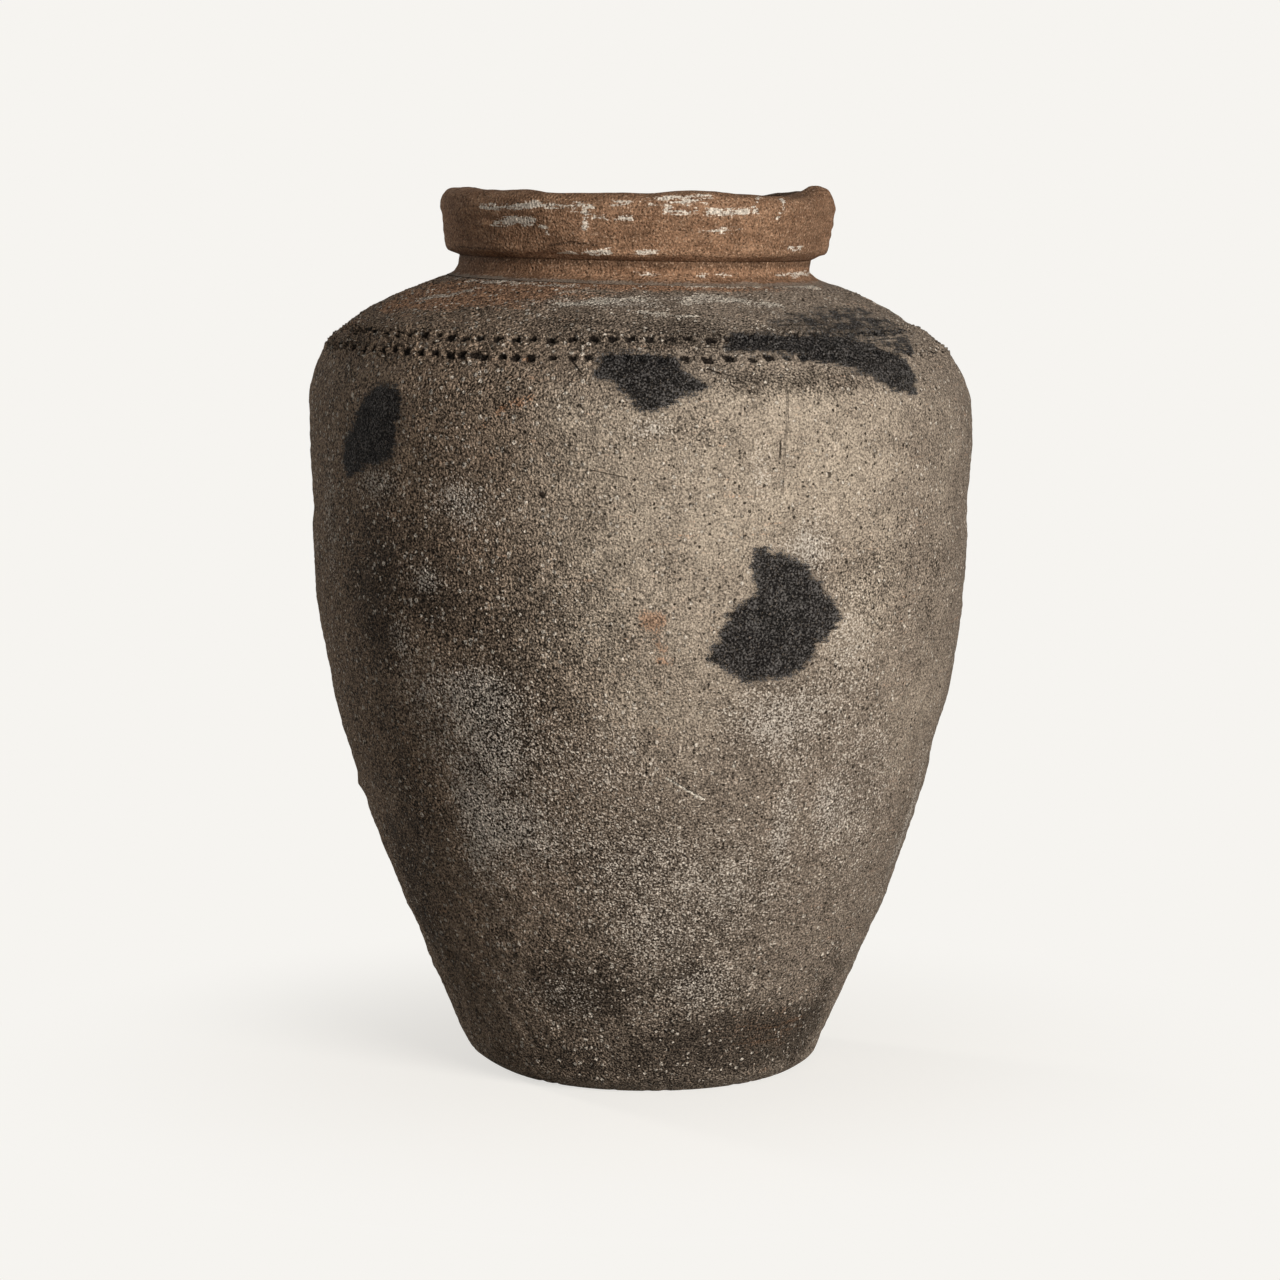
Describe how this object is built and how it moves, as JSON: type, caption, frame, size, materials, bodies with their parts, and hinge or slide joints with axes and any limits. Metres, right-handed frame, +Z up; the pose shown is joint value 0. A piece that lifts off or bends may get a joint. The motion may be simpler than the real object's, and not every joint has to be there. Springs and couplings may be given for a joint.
{
  "type": "terracotta storage jar",
  "caption": "Tall hand-built terracotta storage jar with a small flat base, high broad shoulder, short neck and thick folded collar rim around an open mouth.",
  "frame": {"origin": "centre of the flat base, on the surface that the jar stands on", "axes": "+Z up along the axis of the mouth, -Y towards the side that the picture shows, +X to that view's right"},
  "size_m": [0.4002, 0.4002, 0.5326],
  "materials": {
    "body_clay": "weathered unglazed terracotta with pale bloom, soot and pitch stains",
    "rim_clay": "rubbed red-brown terracotta with white lime strokes",
    "base_clay": "worn, soiled terracotta",
    "inside_clay": "bare unglazed terracotta"
  },
  "bodies": {
    "root": {"base_slab": "base_clay", "base_corner_coil": "inside_clay", "foot_wall": "body_clay", "lower_wall": "body_clay", "belly_wall": "body_clay", "shoulder_wall": "body_clay", "neck_ring": "rim_clay", "rim_collar": "rim_clay"}
  },
  "joints": []
}
